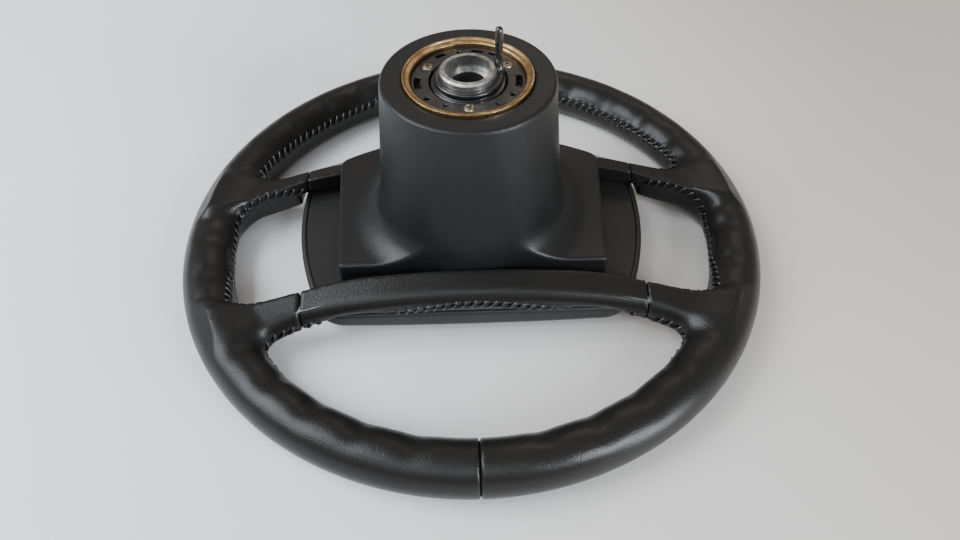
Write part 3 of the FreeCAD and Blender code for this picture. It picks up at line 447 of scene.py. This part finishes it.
def grained(name, colours, roughness, scales, bump, specular=0.5, coat=0.0):
    """A grained material: colours and roughness run from the quiet patches to the handled ones."""
    material, tree, shader = new_material(name)
    effect = tree.nodes.new("ShaderNodeGroup")
    effect.node_tree = grain
    for socket, scale in zip(("Cell Scale", "Pore Scale", "Patch Scale"), scales):
        effect.inputs[socket].default_value = scale
    tint = ramp(tree, effect.outputs["Patches"], [(0.35, colours[0]), (0.68, colours[1])])
    tree.links.new(tint.outputs["Color"], shader.inputs["Base Color"])
    shine = ramp(tree, effect.outputs["Patches"], [(0.36, (roughness[0],) * 3), (0.66, (roughness[1],) * 3)])
    tree.links.new(shine.outputs["Color"], shader.inputs["Roughness"])
    relief = add(tree, "ShaderNodeBump", Strength=bump, Distance=0.0003)
    tree.links.new(effect.outputs["Height"], relief.inputs["Height"])
    tree.links.new(relief.outputs["Normal"], shader.inputs["Normal"])
    shader.inputs["Specular IOR Level"].default_value = specular
    shader.inputs["Coat Weight"].default_value = coat
    shader.inputs["Coat Roughness"].default_value = 0.3
    return material


def dress(piece, material):
    """Put one material on a piece in place of what it has."""
    piece.data.materials.clear()
    piece.data.materials.append(material)


black_leather = grained("black_leather", ((0.006, 0.0058, 0.0056), (0.012, 0.0112, 0.0105)),
                        (0.40, 0.27), (1100, 3000, 16), 0.3, 0.3)
for name, piece in leather_pieces.items():
    dress(piece, black_leather)
waxed_thread = grained("waxed_thread", ((0.006, 0.006, 0.0065), (0.012, 0.012, 0.0125)),
                       (0.38, 0.2), (2600, 6000, 60), 0.3, 0.7)
dress(lacing, waxed_thread)
dark_foam = grained("dark_foam", ((0.004, 0.004, 0.004), (0.006, 0.006, 0.006)), (0.9, 0.8),
                    (3000, 6000, 30), 0.4, 0.1)
dress(foam, dark_foam)


# ---- Hub shroud --------------------------------------------------------------------------------
# One moulding in fine-grained black plastic: the deck over the root of the spokes flares up into a
# hollow cone whose flat top seats the slip ring. Four screws hold it from below to the frame.

shroud_low, shroud_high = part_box("hub_shroud")
ring_low, ring_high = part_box("slip_ring")
SHROUD_TOP = shroud_high.z / MM
SKIRT = shroud_low.z / MM
DECK = 42
CONE_TOP, CONE_FOOT = 48.7, 57.1
SHELL, SHROUD_STEP = 2.5, 1.0
field_low = (-94, -64, SKIRT - 3)
x, y, z = field(field_low, (94, 80, SHROUD_TOP + 3), SHROUD_STEP)
out = np.hypot(x, y)
cone_rise = SHROUD_TOP - DECK
cone_radius = CONE_TOP + (CONE_FOOT - CONE_TOP) * np.clip(SHROUD_TOP - z, 0, cone_rise) / cone_rise
cone = meet((out - cone_radius) * 0.996, z - SHROUD_TOP, 1.4)
half_width = 82.5 + 6.5 * np.clip((y + 50) / 98, 0, 1.2)
outline = meet(np.abs(x) - half_width, np.hypot(x, y + 91.3) - 165.3, 5)
outline = meet(outline, -50 - y, 2)
flared = join(cone, z - DECK, 22)
deck = meet(np.maximum(flared, z - SHROUD_TOP + 1), outline, 1.4)
shroud_solid = join(deck, cone, 5)
hollow = np.maximum(shroud_solid + SHELL, z - 127)
shroud_solid = np.maximum(shroud_solid, -hollow)
seat = np.maximum(out - ring_high.x / MM, ring_low.z / MM - z)
bore = out - 16.5
back_gap = np.maximum(33 - y, z - DECK + SHELL)
web_gap = np.maximum(np.maximum(np.abs(x) - 20.3, np.abs(z - 31) - 5.5), y + 38)
for cut_away in (seat, bore, back_gap, web_gap, z - SKIRT):
    shroud_solid = np.maximum(shroud_solid, -cut_away)
shroud = skin("shroud_moulding", shroud_solid, field_low, SHROUD_STEP, "wheel")
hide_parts("hub_shroud")
shroud_plastic = grained("shroud_plastic", ((0.007, 0.0074, 0.008), (0.011, 0.011, 0.011)),
                         (0.42, 0.33), (1500, 4200, 9), 0.38, 0.36)
dress(shroud, shroud_plastic)


# ---- Horn pad ----------------------------------------------------------------------------------
# A soft grained skin moulded over foam, crowned on the driver's side, with a rigid tray closing its
# back. Four pins and springs let the whole pad move in when the horn is sounded.

cover_low, cover_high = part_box("pad_cover")
PAD_TOP, PAD_FACE, PAD_STEP = cover_high.z / MM, cover_low.z / MM, 1.25
field_low = (-120, -78, PAD_FACE - 3)
x, y, z = field(field_low, (120, 82, PAD_TOP + 3), PAD_STEP)
edge = pad_edge(x, y)
dome = PAD_FACE + 4.5 * np.clip((np.abs(x) / 116) ** 2.4 + (np.abs(y - 2) / 76) ** 2.4, 0, 2)
cover_solid = meet(edge, dome - z, 6.5)
cover_solid = meet(cover_solid, z - PAD_TOP, 3.0)
badge_low, badge_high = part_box("pad_badge")
recess = np.maximum(np.hypot(x, y) - badge_high.x / MM, z - badge_high.z / MM)
well = np.maximum(edge + 4, 17.4 - z)
for cut_away in (recess, well):
    cover_solid = np.maximum(cover_solid, -cut_away)
pad_cover = skin("pad_skin", cover_solid, field_low, PAD_STEP, "horn_pad")
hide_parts("pad_cover", "pad_foam")
pad_skin = grained("pad_skin", ((0.009, 0.009, 0.0095), (0.014, 0.0138, 0.0135)),
                   (0.55, 0.45), (700, 2400, 11), 0.35)
dress(pad_cover, pad_skin)
tray_plastic = grained("tray_plastic", ((0.010, 0.0098, 0.0095), (0.015, 0.0145, 0.014)),
                       (0.55, 0.47), (2200, 5000, 13), 0.18, 0.4)
dress(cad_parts["pad_tray"], tray_plastic)


# ---- Slip ring, carrier and their screws ---------------------------------------------------------
# A turned brass ring pressed on a moulded black plate, held by three pan-head screws. The ring is
# rubbed by the horn brush, so its track is brighter than its lip, and grease has crept over it all.


def lathe(name, profile, body, turns=128):
    """A ring turned from a closed (radius, height) outline in mm."""
    count = len(profile)
    verts, faces = [], []
    for k in range(turns):
        angle = 2 * math.pi * k / turns
        verts += [(r * math.cos(angle) * MM, r * math.sin(angle) * MM, h * MM) for r, h in profile]
        ahead = (k + 1) % turns
        faces += [(k * count + n, ahead * count + n, ahead * count + (n + 1) % count,
                   k * count + (n + 1) % count) for n in range(count)]
    mesh = bpy.data.meshes.new(name)
    mesh.from_pydata(verts, [], faces)
    shape = bmesh.new()
    shape.from_mesh(mesh)
    bmesh.ops.recalc_face_normals(shape, faces=shape.faces)
    shape.to_mesh(mesh)
    shape.free()
    mesh.shade_smooth()
    piece = bpy.data.objects.new(name, mesh)
    bpy.context.scene.collection.objects.link(piece)
    edges = piece.modifiers.new("edges", "BEVEL")
    edges.width = 0.00022
    edges.segments = 2
    edges.limit_method = "ANGLE"
    edges.harden_normals = True
    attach(piece, body)
    return piece


def metal(name, colours, roughness, scale, bump=0.12):
    """Bare metal, duller where it is stained."""
    material, tree, shader = new_material(name)
    effect = tree.nodes.new("ShaderNodeGroup")
    effect.node_tree = grain
    for socket, size in zip(("Cell Scale", "Pore Scale", "Patch Scale"), scale):
        effect.inputs[socket].default_value = size
    tint = ramp(tree, effect.outputs["Patches"], [(0.38, colours[0]), (0.62, colours[1])])
    tree.links.new(tint.outputs["Color"], shader.inputs["Base Color"])
    shine = ramp(tree, effect.outputs["Patches"], [(0.38, (roughness[0],) * 3), (0.62, (roughness[1],) * 3)])
    tree.links.new(shine.outputs["Color"], shader.inputs["Roughness"])
    relief = add(tree, "ShaderNodeBump", Strength=bump, Distance=0.0002)
    tree.links.new(effect.outputs["Height"], relief.inputs["Height"])
    tree.links.new(relief.outputs["Normal"], shader.inputs["Normal"])
    shader.inputs["Metallic"].default_value = 1.0
    return material


RING_IN, RING_OUT = 32.8, ring_high.x / MM
RING_SEAT, RING_HIGH = ring_low.z / MM, ring_high.z / MM
CARRIER_SCREWS = (30, 150, 270)
slip_ring = lathe("slip_ring_brass", [
    (RING_IN, RING_SEAT), (RING_OUT, RING_SEAT), (RING_OUT, RING_HIGH), (RING_OUT - 1.1, RING_HIGH),
    (RING_OUT - 1.5, RING_HIGH - 0.8), (RING_OUT - 2.1, RING_HIGH - 1.1), (RING_IN + 0.5, RING_HIGH - 1.3),
    (RING_IN, RING_HIGH - 1.9)], "wheel", 192)
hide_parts("slip_ring")
brass = metal("brass", ((0.30, 0.19, 0.09), (0.56, 0.39, 0.20)), (0.42, 0.26), (600, 1800, 160))
dress(slip_ring, brass)

carrier_plastic = grained("carrier_plastic", ((0.006, 0.006, 0.006), (0.012, 0.011, 0.010)),
                          (0.42, 0.2), (1300, 3600, 120), 0.25, 0.6)
carrier_low, carrier_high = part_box("contact_carrier")
CARRIER_TOP, CARRIER_IN, CARRIER_STEP = 139.9, 22.05, 0.5
field_low = (-34, -34, carrier_low.z / MM - 1)
x, y, z = field(field_low, (34, 34, 142), CARRIER_STEP)
out = np.hypot(x, y)
bearing = np.degrees(np.arctan2(y, x)) % 360
SCREW_CIRCLE, BOSS_RADIUS = 26.2, 4.1
carrier_solid = meet(meet(out - RING_IN, CARRIER_IN - out, 0.4), z - CARRIER_TOP, 0.5)
for turn in CARRIER_SCREWS:
    way = math.radians(turn)
    near_screw = np.hypot(x - SCREW_CIRCLE * math.cos(way), y - SCREW_CIRCLE * math.sin(way)) - BOSS_RADIUS
    carrier_solid = join(carrier_solid, meet(near_screw, z - CARRIER_TOP + 0.35, 0.4), 1)
carrier_solid = np.maximum(carrier_solid, carrier_low.z / MM - z)
# holes in the carrier: bearing, distance from the axis, then the radius, or half the sweep and the width
ROUND_HOLES = ((215, 28.2, 1.5), (330, 28.2, 1.4), (240, 26, 1.0), (305, 27, 0.9), (100, 28, 1.0))
LONG_HOLES = ((357, 28.8, 11, 1.6), (183, 28.8, 11, 1.6), (78, 29.3, 7, 1.2), (122, 29.3, 6, 1.2),
              (60, 29.3, 4, 1.2))
ROUND_FLOOR, LONG_FLOOR = 134.5, 135.5
for turn, distance, radius in ROUND_HOLES:
    way = math.radians(turn)
    drilled = np.hypot(x - distance * math.cos(way), y - distance * math.sin(way)) - radius
    carrier_solid = meet(carrier_solid, -np.maximum(drilled, ROUND_FLOOR - z), 0.3)
for turn, distance, half, width in LONG_HOLES:
    swing = np.abs((bearing - turn + 180) % 360 - 180)
    slot = np.maximum(np.abs(out - distance) - width, (swing - half) * 0.45)
    carrier_solid = meet(carrier_solid, -np.maximum(slot, LONG_FLOOR - z), 0.4)
carrier = skin("carrier_moulding", carrier_solid, field_low, CARRIER_STEP, "wheel")
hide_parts("contact_carrier")
dress(carrier, carrier_plastic)

HEAD_RADIUS, HEAD_RISE, HEAD_SEAT, HEAD_SIDES = 3.3, 1.7, 139.5, 32
heads = bmesh.new()
for turn in CARRIER_SCREWS:
    way = math.radians(turn)
    centre = Vector((SCREW_CIRCLE * math.cos(way), SCREW_CIRCLE * math.sin(way), HEAD_SEAT))
    rows = [(HEAD_RADIUS * 0.9, -1.0), (HEAD_RADIUS, 0.0), (HEAD_RADIUS, 0.7), (HEAD_RADIUS * 0.86, 1.35),
            (HEAD_RADIUS * 0.6, HEAD_RISE)]
    rings = []
    for radius, height in rows:
        around = [2 * math.pi * k / HEAD_SIDES for k in range(HEAD_SIDES)]
        points = [Vector((radius * math.cos(a), radius * math.sin(a), height)) for a in around]
        rings.append([heads.verts.new((centre + point) * MM) for point in points])
    for lower_ring, upper_ring in zip(rings, rings[1:]):
        for k in range(HEAD_SIDES):
            ahead = (k + 1) % HEAD_SIDES
            heads.faces.new((lower_ring[k], lower_ring[ahead], upper_ring[ahead], upper_ring[k]))
    # a cross-shaped recess: twelve corners, sunk to a smaller floor
    cross = []
    for quarter in range(4):
        spin = way + math.radians(20 + 90 * quarter)
        for u, v in ((0.42, -0.42), (1.75, -0.42), (1.75, 0.42)):
            cross.append(Vector((u * math.cos(spin) - v * math.sin(spin),
                                 u * math.sin(spin) + v * math.cos(spin), 0)))
    mouth = [heads.verts.new((centre + c + Vector((0, 0, HEAD_RISE + 0.05))) * MM) for c in cross]
    floor = [heads.verts.new((centre + c * 0.7 + Vector((0, 0, 0.5))) * MM) for c in cross]
    rim_edges = [heads.edges.new((a, b)) for a, b in zip(mouth, mouth[1:] + mouth[:1])]
    top_edges = [heads.edges.get((rings[-1][k], rings[-1][(k + 1) % 32])) for k in range(32)]
    bmesh.ops.triangle_fill(heads, edges=rim_edges + top_edges, use_beauty=True)
    for n in range(12):
        heads.faces.new((mouth[n], mouth[(n + 1) % 12], floor[(n + 1) % 12], floor[n]))
    heads.faces.new(floor)
head_mesh = bpy.data.meshes.new("carrier_screw_heads")
bmesh.ops.recalc_face_normals(heads, faces=heads.faces)
heads.to_mesh(head_mesh)
heads.free()
screw_heads = bpy.data.objects.new("carrier_screw_heads", head_mesh)
bpy.context.scene.collection.objects.link(screw_heads)
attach(screw_heads, "wheel")
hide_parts("carrier_screws")
zinc = metal("yellow_zinc", ((0.16, 0.13, 0.09), (0.42, 0.38, 0.30)), (0.5, 0.3), (900, 2600, 420))
dress(screw_heads, zinc)


# ---- Sleeve on the column ------------------------------------------------------------------------
# Steel, turned and bored, with a ring of broached splines below a plain pilot bore. The top has a
# worn chamfer, mottled by grease and fingers.

steel = metal("turned_steel", ((0.26, 0.26, 0.25), (0.52, 0.52, 0.50)), (0.48, 0.3), (700, 2000, 210), 0.2)
dress(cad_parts["hub_sleeve"], steel)


# ---- Cancelling collar ---------------------------------------------------------------------------
# A glossy black moulding on the sleeve, with a flange below and one tall round-ended finger that
# knocks the indicator switch back. It is coated in old black grease.

collar_low, collar_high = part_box("cancelling_collar")
COLLAR_STEP, FINGER_TOP = 0.45, collar_high.z / MM
COLLAR_TOP, COLLAR_SEAT = 143.0, collar_low.z / MM
field_low = (-23, -23, COLLAR_SEAT - 1)
x, y, z = field(field_low, (28, 23, FINGER_TOP + 1), COLLAR_STEP)
out = np.hypot(x, y)
tube = meet(out - 19.4, z - COLLAR_TOP, 1.2)
flange = meet(out - 21.3, z - 139.4, 0.8)
lean = math.radians(18)
along = x * math.cos(lean) + y * math.sin(lean)
across = y * math.cos(lean) - x * math.sin(lean)
middle = 18.35
narrow = 2.3 + 4.6 * np.clip((150 - z) / 12, 0, 1) ** 2
finger = meet(np.abs(across) - narrow, np.abs(along - middle) - 2.0, 1.7)
tip = np.sqrt(across ** 2 + (z - FINGER_TOP + 2.35) ** 2) - 2.3
finger = np.where(z > FINGER_TOP - 2.35, meet(tip, np.abs(along - middle) - 2.0, 1.7), finger)
collar_solid = join(np.minimum(tube, flange), finger, 2.5)
for cut_away in (out - 16.12, z - COLLAR_SEAT - 0.05):
    collar_solid = np.maximum(collar_solid, -cut_away)
collar = skin("collar_moulding", collar_solid, field_low, COLLAR_STEP, "wheel")
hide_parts("cancelling_collar")
greasy_plastic = grained("greasy_plastic", ((0.004, 0.004, 0.0045), (0.009, 0.009, 0.0095)),
                         (0.30, 0.09), (420, 1500, 130), 0.5, 0.6, 0.5)
dress(collar, greasy_plastic)


# ---- Badge, tray, frame and the horn's working parts ----------------------------------------------
# Behind the pad: a cast aluminium frame on the steel ring, zinc-plated screws, nylon bushes on
# steel pins, brass contacts, and four wire springs that push the pad back out.

badge_plastic = grained("badge_plastic", ((0.02, 0.02, 0.021), (0.03, 0.03, 0.031)), (0.3, 0.22),
                        (2400, 6000, 12), 0.1, 0.5, 0.3)
cast_aluminium = metal("cast_aluminium", ((0.30, 0.30, 0.31), (0.45, 0.45, 0.46)), (0.62, 0.5),
                       (800, 2400, 40), 0.45)
nylon = grained("nylon", ((0.42, 0.40, 0.35), (0.50, 0.48, 0.43)), (0.5, 0.42), (1800, 5000, 40), 0.1)
for material, names in ((badge_plastic, ("pad_badge",)), (cast_aluminium, ("spoke_frame",)),
                        (nylon, ("guide_bushes", "contact_insulator")),
                        (brass, ("contact_plate", "contact_studs", "fixed_contact")),
                        (zinc, ("shroud_screws", "pad_screws")),
                        (steel, ("rim_core", "guide_pins", "pin_clips"))):
    for name in names:
        dress(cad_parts[name], material)

SPRING_LOW, SPRING_HIGH, SPRING_TURNS, SPRING_RADIUS, WIRE = 20.3, 29.0, 5, 4.3, 0.45
SPRING_PLACES = ((34, 30), (-34, 30), (-34, -30), (34, -30))
STEPS_A_TURN, WIRE_SIDES = 24, 8
coils = bmesh.new()
for side_x, side_y in SPRING_PLACES:
    rings = []
    for k in range(SPRING_TURNS * STEPS_A_TURN + 1):
        t = k / (SPRING_TURNS * STEPS_A_TURN)
        turn = 2 * math.pi * SPRING_TURNS * t
        closed_ends = t + 0.06 * math.sin(4 * math.pi * t)
        rise = SPRING_LOW + WIRE + (SPRING_HIGH - SPRING_LOW - 2 * WIRE) * closed_ends
        outward = Vector((math.cos(turn), math.sin(turn), 0))
        centre = Vector((side_x, side_y, rise)) + outward * SPRING_RADIUS
        around = [2 * math.pi * n / WIRE_SIDES for n in range(WIRE_SIDES)]
        section = [outward * math.cos(a) + Vector((0, 0, math.sin(a))) for a in around]
        rings.append([coils.verts.new((centre + point * WIRE) * MM) for point in section])
    for first, second in zip(rings, rings[1:]):
        for n in range(WIRE_SIDES):
            ahead = (n + 1) % WIRE_SIDES
            coils.faces.new((first[n], first[ahead], second[ahead], second[n]))
    coils.faces.new(rings[0])
    coils.faces.new(rings[-1])
coil_mesh = bpy.data.meshes.new("spring_coils")
bmesh.ops.recalc_face_normals(coils, faces=coils.faces)
coils.to_mesh(coil_mesh)
coils.free()
coil_mesh.shade_smooth()
springs = bpy.data.objects.new("spring_coils", coil_mesh)
bpy.context.scene.collection.objects.link(springs)
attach(springs, "wheel")
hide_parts("return_springs")
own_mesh(springs)
spring_steel = metal("spring_steel", ((0.22, 0.22, 0.23), (0.36, 0.36, 0.37)), (0.4, 0.3), (1500, 3500, 200))
dress(springs, spring_steel)
